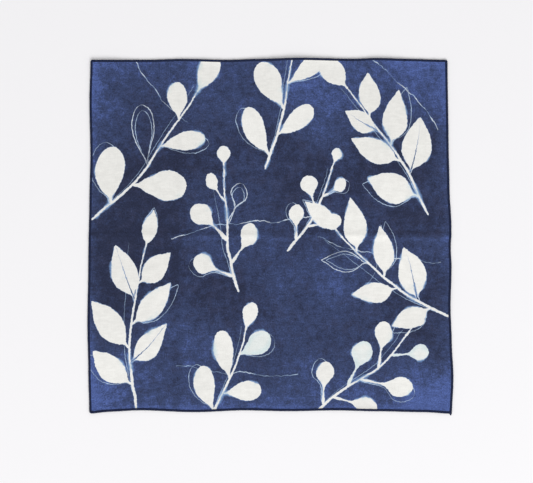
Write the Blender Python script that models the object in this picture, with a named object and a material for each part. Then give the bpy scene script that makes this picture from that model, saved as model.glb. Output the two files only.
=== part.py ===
"""A near-square cloth napkin of plain-woven cotton, spread out on a table.

The napkin is one closed sheet. Its underside lies in the plane z = 0, except where a pressed
fold line, a soft swell or a lifted stretch of edge raises the cloth, and its upper face follows
the underside at the cloth's thickness. The hem is the same cloth rolled under along all four
edges, so it is a thicker bead of the same solid. The origin is the middle of the underside, with
+X across the napkin and +Y towards its top edge.
"""

from collections import namedtuple
from math import ceil, cos, pi, radians, sin

import bmesh
import bpy

# Driving dimensions, in metres.
WIDTH = 0.461  # outer box across, between the widest places of the left and right edges
LENGTH = 0.448  # outer box from the bottom edge to the top edge
SHEET = 0.0012  # thickness of the spread cloth
HEM_WIDTH = 0.0030  # width of the rolled bead
HEM_HEIGHT = 0.0020  # thickness of the bead at its crown
CELL = 0.0135  # widest spacing of the sheet's grid lines
FOLD_REACH = 0.0060  # how far the flanks of a fold line run on either side of it

# Across the rolled hem, from the outer edge inwards: the heights of its lower and upper lines.
Section = namedtuple("Section", "inward under over")
HEM_SECTION = (
    Section(inward=0.0, under=0.0006, over=0.0014),
    Section(inward=HEM_WIDTH / 2, under=0.0, over=HEM_HEIGHT),
    Section(inward=HEM_WIDTH, under=0.0, over=SHEET),
)

# How far each edge draws in from the outer box, at places along it. Places run from the bottom
# up on the left and right edges, and from the left on the bottom and top edges.
Inset = namedtuple("Inset", "place depth")
LEFT_EDGE = (
    Inset(0.000, 0.0024),
    Inset(0.052, 0.0012),
    Inset(0.113, 0.0000),
    Inset(0.196, 0.0012),
    Inset(0.272, 0.0025),
    Inset(0.325, 0.0038),
    Inset(0.400, 0.0026),
    Inset(LENGTH, 0.0039),
)
RIGHT_EDGE = (
    Inset(0.000, 0.0020),
    Inset(0.045, 0.0000),
    Inset(0.090, 0.0022),
    Inset(0.136, 0.0038),
    Inset(0.188, 0.0025),
    Inset(0.211, 0.0036),
    Inset(0.234, 0.0025),
    Inset(0.287, 0.0050),
    Inset(0.347, 0.0063),
    Inset(LENGTH, 0.0076),
)
BOTTOM_EDGE = (
    Inset(0.000, 0.0003),
    Inset(0.024, 0.0026),
    Inset(0.062, 0.0043),
    Inset(0.132, 0.0019),
    Inset(0.196, 0.0042),
    Inset(0.253, 0.0031),
    Inset(0.314, 0.0042),
    Inset(0.367, 0.0030),
    Inset(0.430, 0.0019),
    Inset(WIDTH, 0.0000),
)
TOP_EDGE = (
    Inset(0.000, 0.0025),
    Inset(0.072, 0.0024),
    Inset(0.117, 0.0013),
    Inset(0.178, 0.0025),
    Inset(0.216, 0.0013),
    Inset(0.276, 0.0000),
    Inset(0.344, 0.0012),
    Inset(0.374, 0.0002),
    Inset(0.420, 0.0013),
    Inset(WIDTH, 0.0024),
)

# Fold lines pressed into the cloth, which stand up as low ridges. Each height is at a place along
# the line, measured as along an edge.
Crown = namedtuple("Crown", "place height")
CROSS_FOLD_PLACE = LENGTH / 2
CROSS_FOLD = (
    Crown(0.000, 0.0007),
    Crown(0.060, 0.0012),
    Crown(0.130, 0.0010),
    Crown(0.240, 0.0014),
    Crown(0.330, 0.0011),
    Crown(0.410, 0.0013),
    Crown(WIDTH, 0.0008),
)
SIDE_FOLD_PLACE = 0.119
SIDE_FOLD = (
    Crown(0.000, 0.0002),
    Crown(0.105, 0.0007),
    Crown(0.190, 0.0003),
    Crown(0.300, 0.0006),
    Crown(0.380, 0.0003),
    Crown(LENGTH, 0.0001),
)

# Soft rises of the cloth: the middle of each, how far it reaches along and across its own
# direction, its height, and the turn of that direction from +X.
Swell = namedtuple("Swell", "x y along across height turn")
SWELLS = (
    Swell(x=0.033, y=0.224, along=0.085, across=0.030, height=0.0015, turn=0.0),
    Swell(x=0.144, y=0.224, along=0.045, across=0.024, height=0.0010, turn=0.0),
    Swell(x=-0.214, y=0.222, along=0.045, across=0.026, height=0.0011, turn=0.0),
    Swell(x=-0.020, y=-0.047, along=0.130, across=0.026, height=0.0007, turn=2.0),
    Swell(x=0.015, y=-0.092, along=0.110, across=0.024, height=0.0006, turn=-3.0),
    Swell(x=-0.060, y=-0.188, along=0.090, across=0.022, height=0.0006, turn=4.0),
    Swell(x=0.228, y=-0.062, along=0.050, across=0.024, height=0.0008, turn=90.0),
)


def through(rows, place):
    """The value that a table of (place, value) rows gives at a place, eased between its rows."""
    before, after = rows[0], rows[-1]
    for before, after in zip(rows, rows[1:]):
        if place <= after.place:
            break
    share = (place - before.place) / (after.place - before.place)
    share = min(max(share, 0.0), 1.0)
    eased = share * share * (3.0 - 2.0 * share)
    return before[1] + (after[1] - before[1]) * eased


def grid_lines(span, fold):
    """Places of the grid's lines across a span: the hem's lines at both ends, the fold's crown
    and feet, and evenly spaced lines between them."""
    hem = [section.inward for section in HEM_SECTION]
    fixed = [hem[-1], fold - FOLD_REACH, fold, fold + FOLD_REACH, span - hem[-1]]
    lines = hem[:-1]
    for start, end in zip(fixed, fixed[1:]):
        cells = ceil((end - start) / CELL)
        lines += [start + (end - start) * cell / cells for cell in range(cells)]
    return lines + [span - inward for inward in reversed(hem)]


def plan_point(across, up):
    """Where the place (across, up) of the outer box lands once the edges are drawn in."""
    left = through(LEFT_EDGE, up)
    right = WIDTH - through(RIGHT_EDGE, up)
    bottom = through(BOTTOM_EDGE, across)
    top = LENGTH - through(TOP_EDGE, across)
    x = left + (right - left) * across / WIDTH
    y = bottom + (top - bottom) * up / LENGTH
    return x - WIDTH / 2, y - LENGTH / 2


def fold_height(crowns, place, distance):
    """Height of a fold line's ridge at a place along it and a distance to its side."""
    flank = max(0.0, 1.0 - abs(distance) / FOLD_REACH)
    return through(crowns, place) * flank


def swell_height(swell, x, y):
    """Height of one soft rise at a point, which is nothing past its reach."""
    turn = radians(swell.turn)
    along = ((x - swell.x) * cos(turn) + (y - swell.y) * sin(turn)) / swell.along
    across = ((y - swell.y) * cos(turn) - (x - swell.x) * sin(turn)) / swell.across
    distance = min(1.0, (along * along + across * across) ** 0.5)
    return swell.height * (1.0 + cos(pi * distance)) / 2


def lift(across, up, x, y):
    """How far the cloth stands off the table at a place."""
    cross_fold = fold_height(CROSS_FOLD, across, up - CROSS_FOLD_PLACE)
    side_fold = fold_height(SIDE_FOLD, up, across - SIDE_FOLD_PLACE)
    return max(cross_fold, side_fold) + max(swell_height(swell, x, y) for swell in SWELLS)


def cloth_mesh():
    """The sheet as one closed mesh: a grid for its underside, extruded into its upper face."""
    columns = grid_lines(WIDTH, SIDE_FOLD_PLACE)
    rows = grid_lines(LENGTH, CROSS_FOLD_PLACE)
    last_column, last_row = len(columns) - 1, len(rows) - 1
    sheet = bmesh.new()
    bmesh.ops.create_grid(sheet, x_segments=last_column, y_segments=last_row, size=0.5)
    lower = list(sheet.verts)
    grown = bmesh.ops.extrude_face_region(sheet, geom=sheet.faces[:])["geom"]
    upper = [item for item in grown if isinstance(item, bmesh.types.BMVert)]
    for verts, side in ((lower, "under"), (upper, "over")):
        for vert in verts:
            column = round((vert.co.x + 0.5) * last_column)
            row = round((vert.co.y + 0.5) * last_row)
            ring = min(column, row, last_column - column, last_row - row)
            section = HEM_SECTION[min(ring, len(HEM_SECTION) - 1)]
            x, y = plan_point(columns[column], rows[row])
            z = lift(columns[column], rows[row], x, y) + getattr(section, side)
            vert.co = (x, y, z)
    bmesh.ops.recalc_face_normals(sheet, faces=sheet.faces[:])
    mesh = bpy.data.meshes.new("cloth")
    sheet.to_mesh(mesh)
    sheet.free()
    return mesh


def indigo_cotton():
    """The cloth's finish: matt cotton dyed a dark blue."""
    material = bpy.data.materials.new("indigo_cotton")
    material.use_nodes = True
    surface = material.node_tree.nodes["Principled BSDF"]
    surface.inputs["Base Color"].default_value = (0.045, 0.060, 0.130, 1.0)
    surface.inputs["Roughness"].default_value = 0.9
    surface.inputs["Metallic"].default_value = 0.0
    return material


def main():
    """Clears the scene and lays the napkin out in it."""
    for old in list(bpy.data.objects):
        bpy.data.objects.remove(old, do_unlink=True)
    cloth = bpy.data.objects.new("cloth", cloth_mesh())
    cloth.data.materials.append(indigo_cotton())
    cloth.data.shade_smooth()
    bpy.context.scene.collection.objects.link(cloth)


main()
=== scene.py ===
"""The looks of a printed cotton napkin that lies spread out on a pale table.

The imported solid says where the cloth's edges run and how far the cloth stands off the table. The
visible napkin is a thin sheet on those folds, with the softer creases added, and a dark overlock
thread wound around its rolled hem. A resist print of leafy sprigs is left white in the blue dye.
Sizes are in metres. Places on the cloth are measured from its lower left corner, flat.
"""

import logging
from bisect import bisect_left
from collections.abc import Iterator
from dataclasses import dataclass, field, replace
from enum import Enum
from functools import cached_property
from math import atan, atan2, ceil, cos, exp, hypot, pi, radians, sin, sqrt
from random import Random
from typing import ClassVar, NamedTuple

import bmesh
import bpy
from mathutils import Matrix, Vector, noise
from mathutils.bvhtree import BVHTree


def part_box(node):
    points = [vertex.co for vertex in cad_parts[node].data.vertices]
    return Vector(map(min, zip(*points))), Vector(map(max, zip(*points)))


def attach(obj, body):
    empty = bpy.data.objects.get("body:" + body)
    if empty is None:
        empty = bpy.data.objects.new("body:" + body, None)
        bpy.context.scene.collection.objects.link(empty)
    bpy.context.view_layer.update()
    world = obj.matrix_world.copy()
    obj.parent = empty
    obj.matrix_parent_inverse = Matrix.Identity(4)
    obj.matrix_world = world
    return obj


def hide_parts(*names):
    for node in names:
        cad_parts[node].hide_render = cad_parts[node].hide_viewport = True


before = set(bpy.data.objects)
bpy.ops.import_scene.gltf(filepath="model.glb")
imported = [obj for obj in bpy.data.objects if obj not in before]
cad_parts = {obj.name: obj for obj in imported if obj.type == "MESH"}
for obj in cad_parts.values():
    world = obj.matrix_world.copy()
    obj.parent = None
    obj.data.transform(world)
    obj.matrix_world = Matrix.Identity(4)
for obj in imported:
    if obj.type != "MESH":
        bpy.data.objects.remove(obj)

log = logging.getLogger("napkin")

Colour = tuple[float, float, float, float]
Value = float | Colour | tuple[float, float, float] | bpy.types.NodeSocket

CLOTH_NODE = "cloth"
BODY = "root"
CLOTH_MAP = "cloth_place"
BAKE_MAP = "OFBake"
MILLIMETRE = 0.001
SAME_POINT = 1e-6
FAR_OUTSIDE = -1.0
MIDDLE = (0.5, 0.5, 0.5)


def shade(red: int, green: int, blue: int) -> Colour:
    """Linear colour of a shade given as it looks, from 0 to 255 a channel.

    Args:
        red: Red as it looks.
        green: Green as it looks.
        blue: Blue as it looks.

    Returns:
        The colour as the shader nodes take it, opaque.
    """
    parts = (channel / 255 for channel in (red, green, blue))
    linear = (p / 12.92 if p <= 0.04045 else ((p + 0.055) / 1.055) ** 2.4 for p in parts)
    return (*linear, 1.0)


class Ease(NamedTuple):
    """A smooth change.

    Attributes:
        low: What is read where the change begins.
        high: What is read where it is complete.
        start: What comes out at low.
        end: What comes out at high.
    """

    low: float
    high: float
    start: float = 0.0
    end: float = 1.0


class Clouds(NamedTuple):
    """A cloudy pattern.

    Attributes:
        scale: How many clouds a metre holds.
        detail: How many finer layers it has.
        roughness: How strong the finer layers are.
    """

    scale: float
    detail: float = 2.0
    roughness: float = 0.5


class Graph:
    """One node tree, with short ways to add its nodes and join them."""

    def __init__(self, tree: bpy.types.NodeTree) -> None:
        """Takes the tree of a material or of a group."""
        self.tree = tree

    @classmethod
    def group(cls, name: str, inputs: dict[str, str], outputs: dict[str, str]) -> "Graph":
        """Starts a shader node group.

        Args:
            name: The group's name.
            inputs: Names of its inputs, each with its kind of value.
            outputs: Names of its outputs, each with its kind of value.

        Returns:
            The graph of the new group.
        """
        graph = cls(bpy.data.node_groups.new(name, "ShaderNodeTree"))
        for side, sockets in (("INPUT", inputs), ("OUTPUT", outputs)):
            for label, kind in sockets.items():
                graph.tree.interface.new_socket(
                    name=label, in_out=side, socket_type=f"NodeSocket{kind}"
                )
        graph.node("NodeGroupInput")
        graph.node("NodeGroupOutput")
        return graph

    @property
    def given(self) -> bpy.types.NodeOutputs:
        """What the group is given."""
        return self.tree.nodes["Group Input"].outputs

    @property
    def result(self) -> bpy.types.NodeInputs:
        """Where the group's results go."""
        return self.tree.nodes["Group Output"].inputs

    def node(self, kind: str, **settings: object) -> bpy.types.Node:
        """Adds a node of a kind with its settings.

        Args:
            kind: The node's type.
            **settings: Its settings, by name.

        Returns:
            The new node.
        """
        made = self.tree.nodes.new(kind)
        for name, value in settings.items():
            setattr(made, name, value)
        return made

    def feed(self, socket: bpy.types.NodeSocket, value: Value) -> None:
        """Joins a socket to another node's output, or sets its own value.

        Args:
            socket: The input.
            value: A number, a colour, a vector or another node's output.
        """
        if isinstance(value, bpy.types.NodeSocket):
            self.tree.links.new(value, socket)
        else:
            socket.default_value = value

    def use(self, tree: bpy.types.NodeTree, **values: Value) -> bpy.types.Node:
        """Places a group in this tree.

        Args:
            tree: The group's tree.
            **values: What its inputs get, with underscores for the spaces in their names.

        Returns:
            The placed group node.
        """
        made = self.node("ShaderNodeGroup", node_tree=tree)
        for name, value in values.items():
            self.feed(made.inputs[name.replace("_", " ")], value)
        return made

    def math(self, operation: str, *values: Value) -> bpy.types.NodeSocket:
        """One step of arithmetic on numbers or sockets.

        Args:
            operation: The node's operation.
            *values: What it works on.

        Returns:
            The result.
        """
        made = self.node("ShaderNodeMath", operation=operation)
        for socket, value in zip(made.inputs, values):
            self.feed(socket, value)
        return made.outputs[0]

    def vector(self, operation: str, *values: Value) -> bpy.types.NodeSocket:
        """One step of arithmetic on vectors or sockets.

        Args:
            operation: The node's operation.
            *values: What it works on.

        Returns:
            The result.
        """
        made = self.node("ShaderNodeVectorMath", operation=operation)
        for socket, value in zip(made.inputs, values):
            self.feed(socket, value)
        return made.outputs[0]

    def split(self, vector: Value) -> tuple[bpy.types.NodeSocket, bpy.types.NodeSocket]:
        """The first two parts of a vector.

        Args:
            vector: The vector.

        Returns:
            Its X and its Y.
        """
        made = self.node("ShaderNodeSeparateXYZ")
        self.feed(made.inputs[0], vector)
        return made.outputs[0], made.outputs[1]

    def join(self, *parts: Value) -> bpy.types.NodeSocket:
        """A vector of three parts.

        Args:
            *parts: Its X, Y and Z.

        Returns:
            The vector.
        """
        made = self.node("ShaderNodeCombineXYZ")
        for socket, value in zip(made.inputs, parts):
            self.feed(socket, value)
        return made.outputs[0]

    def ramp(self, value: Value, low: Value, high: Value, start: Value = 0.0,
             end: Value = 1.0) -> bpy.types.NodeSocket:
        """Eases a value from start to end while it goes from low to high.

        Args:
            value: What is read.
            low: Where the change begins.
            high: Where the change is complete.
            start: What comes out at low.
            end: What comes out at high.

        Returns:
            The eased value.
        """
        made = self.node("ShaderNodeMapRange", interpolation_type="SMOOTHSTEP")
        for socket, number in zip(made.inputs, (value, low, high, start, end)):
            self.feed(socket, number)
        return made.outputs[0]

    def blend(self, share: Value, low: Value, high: Value) -> bpy.types.NodeSocket:
        """A colour between two others.

        Args:
            share: How far it is from the first to the second.
            low: The first colour.
            high: The second colour.

        Returns:
            The blended colour.
        """
        made = self.node("ShaderNodeMix", data_type="RGBA")
        sockets = {socket.identifier: socket for socket in (*made.inputs, *made.outputs)}
        self.feed(sockets["Factor_Float"], share)
        self.feed(sockets["A_Color"], low)
        self.feed(sockets["B_Color"], high)
        return sockets["Result_Color"]

    def noise(self, place: Value, scale: float, detail: float = 2.0, roughness: float = 0.5,
              distortion: float = 0.0) -> bpy.types.Node:
        """A cloudy pattern.

        Args:
            place: Where on the surface, in metres.
            scale: How many clouds a metre holds.
            detail: How many finer layers it has.
            roughness: How strong the finer layers are.
            distortion: How far its shapes are pulled about.

        Returns:
            The noise node, with a value and a colour.
        """
        made = self.node("ShaderNodeTexNoise", noise_dimensions="2D")
        self.feed(made.inputs["Vector"], place)
        settings = {"Scale": scale, "Detail": detail, "Roughness": roughness,
                    "Distortion": distortion}
        for name, value in settings.items():
            self.feed(made.inputs[name], value)
        return made

    def stretch(self, place: Value, across: float, up: float) -> bpy.types.NodeSocket:
        """A place scaled by its own factor each way, for a pattern that runs in streaks."""
        return self.vector("MULTIPLY", place, (across, up, 1.0))


class Outline(Enum):
    """Shapes of the print: half widths from base to tip, as shares of length and of width."""

    STEM = ((0.0, -0.03), (0.008, 0.30), (0.06, 0.44), (0.5, 0.34), (0.992, 0.20), (1.0, -0.02))
    LEAF = ((0.0, -0.04), (0.012, 0.035), (0.10, 0.055), (0.21, 0.27), (0.44, 0.50), (0.68, 0.41),
            (0.87, 0.18), (0.985, 0.02), (1.0, -0.04))
    PETAL = ((0.0, -0.04), (0.012, 0.04), (0.10, 0.07), (0.30, 0.29), (0.64, 0.50), (0.86, 0.39),
             (0.965, 0.20), (1.0, -0.04))
    BUD = ((0.0, -0.04), (0.012, 0.05), (0.42, 0.06), (0.54, 0.22), (0.75, 0.50), (0.92, 0.34),
           (0.98, 0.17), (1.0, -0.04))

    def group(self, slit_taper: float = 0.0012) -> bpy.types.NodeTree:
        """Node group that says how deep inside such a shape a place on the cloth lies.

        Args:
            slit_taper: How much a middle gap's half width narrows from base to tip.

        Returns:
            A group whose Depth is in metres, above zero inside the shape. Rim is how wide its
            painted border is, and a rim wider than the shape fills it. Slit is half the width of
            the gap along its middle, and below zero for none.
        """
        graph = Graph.group(
            f"{self.name.lower()}_shape",
            {"Place": "Vector", "Base": "Vector", "Turn": "Vector", "Length": "Float",
             "Width": "Float", "Bow": "Float", "Rim": "Float", "Slit": "Float"},
            {"Depth": "Float"},
        )
        given = graph.given
        local = graph.node("ShaderNodeMapping", vector_type="TEXTURE")
        for name, source in (("Vector", "Place"), ("Location", "Base"), ("Rotation", "Turn"),
                             ("Scale", "Length")):
            graph.feed(local.inputs[name], given[source])
        along, aside = graph.split(local.outputs[0])
        bowed = graph.math("MULTIPLY", graph.math("MULTIPLY", along, along), given["Bow"])
        off_line = graph.math("ABSOLUTE", graph.math("SUBTRACT", aside, bowed))
        half_width = graph.math("MULTIPLY", self.profile(graph, along), given["Width"])
        off_line = graph.math("MULTIPLY", off_line, given["Length"])
        depth = graph.math("SUBTRACT", half_width, off_line)
        inner = graph.math("SUBTRACT", given["Rim"], depth)
        tapered = graph.math("MULTIPLY_ADD", along, -slit_taper, given["Slit"])
        beside = graph.math("SUBTRACT", off_line, tapered)
        depth = graph.math("MINIMUM", graph.math("MINIMUM", depth, inner), beside)
        graph.feed(graph.result["Depth"], depth)
        return graph.tree

    def profile(self, graph: Graph, along: bpy.types.NodeSocket) -> bpy.types.NodeSocket:
        """The shape's half width at a place along it, below zero past either end.

        Args:
            graph: The graph that the curve goes into.
            along: Place from base to tip, as a share of the length.

        Returns:
            Half width as a share of the width.
        """
        made = graph.node("ShaderNodeFloatCurve")
        made.mapping.use_clip = False
        made.mapping.extend = "EXTRAPOLATED"
        points = made.mapping.curves[0].points
        points[0].location, points[1].location = self.value[0], self.value[-1]
        for place in self.value[1:-1]:
            points.new(*place)
        for point in points if self is Outline.STEM else (points[0], points[-1]):
            point.handle_type = "VECTOR"
        made.mapping.update()
        graph.feed(made.inputs["Value"], along)
        return made.outputs[0]


class Ink(Enum):
    """How a shape of the print took on the cloth."""

    CLEAR = "Depth"
    SOAKED = "Soaked"
    FINE = "Line"


@dataclass(frozen=True)
class Stroke:
    """One shape of the print, placed on the flat cloth.

    Attributes:
        outline: Its shape.
        x: Place of its base across the cloth.
        y: Place of its base up the cloth.
        heading: Direction from base to tip, in radians from the cloth's width.
        length: From base to tip.
        width: Across its widest part.
        bow: How far its tip swings aside, as a share of its length.
        rim: Width of its painted border, or more than its own width where it is filled.
        slit: Half the width of the gap along its middle, or below zero for none.
        ink: How it took on the cloth.
    """

    outline: Outline
    x: float
    y: float
    heading: float
    length: float
    width: float
    bow: float = 0.0
    rim: float = 1.0
    slit: float = -1.0
    ink: Ink = Ink.CLEAR


@dataclass(frozen=True)
class Sprig:
    """A printed branch: a bowed stem with leaves or buds along it.

    Attributes:
        x: Place of the stem's foot across the cloth.
        y: Place of the stem's foot up the cloth.
        turn: Direction of the stem at its foot, in degrees from the cloth's width.
        length: Length of the stem.
        bow: How far the stem's tip swings to its left, as a share of its length.
        outline: Shape of what grows on it.
        count: How many grow along it, besides the one at its tip.
        size: Length of the largest of them.
        slimness: Their width as a share of their length.
        spread: Degrees between them and the stem, before their place on it changes that.
        seed: Picks their small differences.
        hollow: Which of them is only outlined, counted from the foot, or -1 for none.
        soaked: Which of them soaked up some dye, counted from the foot.
        first: Where the lowest one grows, as a share of the stem.
        stem_width: Width of the stem at its foot.
        line_width: Width of the line around an outlined one.
        strand_width: Width of the fine strands beside the stem and some of the leaves.
        strand_turn: Degrees between the stem and its strand.
        strand_bow: The strand's bow as a share of the stem's.
        leaf_strand_turn: Degrees between a leaf and its strand.
        leaf_strand_length: The strand's length as a share of the leaf's.
        slit: Half the width of the gap along the middle of some leaves, at their base.
        inner_length: Length of an outlined one's second line, as a share of its own.
        inner_width: Width of that second line's shape, as a share of its own.
        last: Where the highest one below the tip grows, as a share of the stem.
        sunk: How far down the stem the one at the tip starts, as a share of the stem.
        slip: The most that the others slip down the stem, as a share of it.
        foot_spread: The spread at the stem's foot, as a share of itself.
        closing: How much of that share is gone at the tip.
        jitter: Degrees by which each may lean from its place.
        every: Of how many in a row one has a gap and another a strand.
        largest_at: Where on the stem the largest grow, as a share of it.
        shrink: How much shorter they are a whole stem's length from there.
        lengths: Shares of its length that each may have.
        widths: Shares of its width that each may have.
        droops: How far each swings outwards, as shares of its length.
        stray: The most that each swings either way besides.
    """

    x: float
    y: float
    turn: float
    length: float
    bow: float
    outline: Outline
    count: int
    size: float
    slimness: float
    spread: float
    seed: int
    hollow: int = -1
    soaked: tuple[int, ...] = ()
    first: float = 0.16
    stem_width: float = 0.0040
    line_width: float = 0.0013
    strand_width: float = 0.0008
    strand_turn: float = 4.0
    strand_bow: float = 0.8
    leaf_strand_turn: float = 7.0
    leaf_strand_length: float = 1.07
    slit: float = 0.0009
    inner_length: float = 0.90
    inner_width: float = 0.74
    last: float = 0.93
    sunk: float = 0.03
    slip: float = 0.05
    foot_spread: float = 1.15
    closing: float = 0.4
    jitter: float = 9.0
    every: int = 3
    largest_at: float = 0.38
    shrink: float = 0.42
    lengths: tuple[float, float] = (0.75, 1.05)
    widths: tuple[float, float] = (0.86, 1.14)
    droops: tuple[float, float] = (0.02, 0.16)
    stray: float = 0.05

    def on_stem(self, share: float) -> tuple[float, float, float]:
        """Place and direction of the stem a share of the way along it.

        Args:
            share: How far along, from 0 at the foot to 1 at the tip.

        Returns:
            Place across, place up, and direction in radians.
        """
        turn = radians(self.turn)
        along, aside = self.length * share, self.length * self.bow * share * share
        x = self.x + along * cos(turn) - aside * sin(turn)
        y = self.y + along * sin(turn) + aside * cos(turn)
        return x, y, turn + atan(2 * self.bow * share)

    def strokes(self) -> Iterator[Stroke]:
        """The stem, and then what grows on it from its foot to its tip.

        Yields:
            Each shape of the branch.
        """
        chance = Random(self.seed)
        turn = radians(self.turn)
        yield Stroke(Outline.STEM, self.x, self.y, turn, self.length, self.stem_width, self.bow)
        yield Stroke(Outline.STEM, self.x, self.y, turn + radians(self.strand_turn), self.length,
                     self.strand_width, self.bow * self.strand_bow, ink=Ink.FINE)
        for number in range(self.count + 1):
            at_tip = number == self.count
            share = self.first + (self.last - self.first) * number / self.count
            share = 1.0 if at_tip else share
            side = 0 if at_tip else (-1) ** number
            below = self.sunk if at_tip else chance.uniform(0.0, self.slip)
            x, y, heading = self.on_stem(share - below)
            lean = self.spread * (self.foot_spread - self.closing * share)
            heading += side * radians(lean + chance.uniform(-self.jitter, self.jitter))
            length = self.size * (1.0 - self.shrink * abs(share - self.largest_at))
            length *= chance.uniform(*self.lengths)
            width = length * self.slimness * chance.uniform(*self.widths)
            bow = -side * chance.uniform(*self.droops) + chance.uniform(-self.stray, self.stray)
            slitted = number % self.every == 1 and self.outline is Outline.LEAF
            slit = self.slit if slitted else -1.0
            filled = Stroke(self.outline, x, y, heading, length, width, bow, slit=slit,
                            ink=Ink.SOAKED if number in self.soaked else Ink.CLEAR)
            strand = replace(filled, rim=self.strand_width, slit=-1.0, ink=Ink.FINE)
            if number == self.hollow:
                yield replace(strand, rim=self.line_width)
                yield replace(strand, length=length * self.inner_length,
                              width=width * self.inner_width)
            else:
                yield filled
                if number % self.every == 0:
                    turned = heading + side * radians(self.leaf_strand_turn)
                    yield replace(strand, heading=turned, length=length * self.leaf_strand_length)


@dataclass(frozen=True)
class Tendril:
    """A fine wandering line of the print.

    Attributes:
        x: Place of its start across the cloth.
        y: Place of its start up the cloth.
        turn: Its direction, in degrees from the cloth's width.
        length: How far it runs.
        bow: How far its end swings aside, as a share of its length.
        width: How wide it is.
    """

    x: float
    y: float
    turn: float
    length: float
    bow: float
    width: float


@dataclass(frozen=True)
class BotanicalPrint:
    """The cloth's design: leafy and budding sprigs tossed over it, with a few fine lines.

    Attributes:
        hand: How the drawn shapes are pulled about, each cloud with its reach: out of true over a
            leaf's length, wavering along their outlines, and frayed at their edges.
        wander: How the fine lines stray from their course.
        stray: How far they stray.
        press: How the pressure on them comes and goes.
        thickness: The share of their width that this leaves.
        sprigs: The branches.
        tendrils: The fine lines.
    """

    hand: tuple[tuple[Clouds, float], ...] = (
        (Clouds(10, 0), 0.0120),
        (Clouds(45, 1), 0.0020),
        (Clouds(300, 3), 0.0018),
    )
    wander: Clouds = Clouds(30, 2, 0.55)
    stray: float = 0.012
    press: Clouds = Clouds(48, 2, 0.6)
    thickness: Ease = Ease(0.30, 0.66, 0.25, 1.15)
    sprigs: tuple[Sprig, ...] = (
        # x, y, turn, length, bow, outline, count, size, slimness, spread
        Sprig(0.058, 0.002, 98, 0.210, -0.20, Outline.LEAF, 6, 0.084, 0.47, 46, seed=3),
        Sprig(0.463, 0.118, 150, 0.192, -0.12, Outline.LEAF, 6, 0.080, 0.46, 46, seed=8, hollow=4),
        Sprig(0.432, 0.250, 112, 0.190, 0.18, Outline.LEAF, 6, 0.078, 0.47, 44, seed=5),
        Sprig(0.004, 0.246, 40, 0.212, 0.20, Outline.PETAL, 5, 0.080, 0.49, 48, seed=11, hollow=2),
        Sprig(0.276, -0.012, 34, 0.170, 0.12, Outline.BUD, 6, 0.068, 0.40, 46, seed=21,
              soaked=(2, 5)),
        Sprig(0.196, 0.150, 112, 0.150, -0.22, Outline.BUD, 5, 0.066, 0.40, 44, seed=14, hollow=3),
        Sprig(0.226, 0.306, 66, 0.155, 0.18, Outline.PETAL, 4, 0.072, 0.47, 48, seed=17),
        Sprig(0.150, -0.014, 60, 0.125, 0.10, Outline.PETAL, 4, 0.066, 0.47, 50, seed=29,
              soaked=(3,)),
        Sprig(0.252, 0.206, 50, 0.112, 0.16, Outline.BUD, 4, 0.054, 0.42, 46, seed=31),
    )
    tendrils: tuple[Tendril, ...] = (
        # x, y, turn, length, bow, width
        Tendril(0.105, 0.222, 14, 0.175, -0.10, 0.0013),
        Tendril(0.290, 0.222, -20, 0.160, 0.16, 0.0010),
        Tendril(0.058, 0.446, -62, 0.100, 0.22, 0.0010),
        Tendril(0.366, 0.446, -36, 0.115, -0.20, 0.0011),
        Tendril(0.112, 0.060, -14, 0.150, 0.16, 0.0009),
        Tendril(0.352, 0.146, 62, 0.090, 0.30, 0.0008),
    )

    def group(self) -> bpy.types.NodeTree:
        """Node group of the whole design.

        Returns:
            A group whose Depth says how deep inside the white shapes a place lies, Soaked the
            same for those that took up some dye, and Line for the fine lines, all in metres.
        """
        graph = Graph.group("botanical_print", {"Place": "Vector"},
                            {ink.value: "Float" for ink in Ink})
        place = self.drawn(graph, graph.given["Place"])
        shapes = {outline: outline.group() for outline in Outline}
        across, up = graph.split(place)
        deepest = {ink: FAR_OUTSIDE for ink in Ink}
        for sprig in self.sprigs:
            # The depth so far rides along as the place's unused third part, which makes the
            # renderer finish one sprig before the next and keeps the shader small enough.
            place = graph.join(across, up, deepest[Ink.CLEAR])
            for stroke in sprig.strokes():
                made = graph.use(
                    shapes[stroke.outline], Place=place, Base=(stroke.x, stroke.y, 0.0),
                    Turn=(0.0, 0.0, stroke.heading), Length=stroke.length, Width=stroke.width,
                    Bow=stroke.bow, Rim=stroke.rim, Slit=stroke.slit,
                )
                depth = made.outputs["Depth"]
                deepest[stroke.ink] = graph.math("MAXIMUM", deepest[stroke.ink], depth)
        clear, soaked, fine = (deepest[ink] for ink in Ink)
        alone = graph.math("MINIMUM", soaked, graph.math("MULTIPLY", clear, -1.0))
        fine = graph.math("MAXIMUM", fine, self.fine_lines(graph, place))
        graph.feed(graph.result[Ink.CLEAR.value], graph.math("MAXIMUM", clear, soaked))
        graph.feed(graph.result[Ink.SOAKED.value], alone)
        graph.feed(graph.result[Ink.FINE.value], fine)
        return graph.tree

    def drawn(self, graph: Graph, place: Value) -> bpy.types.NodeSocket:
        """A place nudged about, so that the shapes look drawn by hand and soaked in at the edge.

        Args:
            graph: The design's graph.
            place: Where on the cloth.

        Returns:
            The nudged place.
        """
        for clouds, reach in self.hand:
            cloud = graph.noise(place, *clouds).outputs["Color"]
            centred = graph.vector("SUBTRACT", cloud, MIDDLE)
            place = graph.vector("MULTIPLY_ADD", centred, (reach, reach, 0.0), place)
        return place

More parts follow.
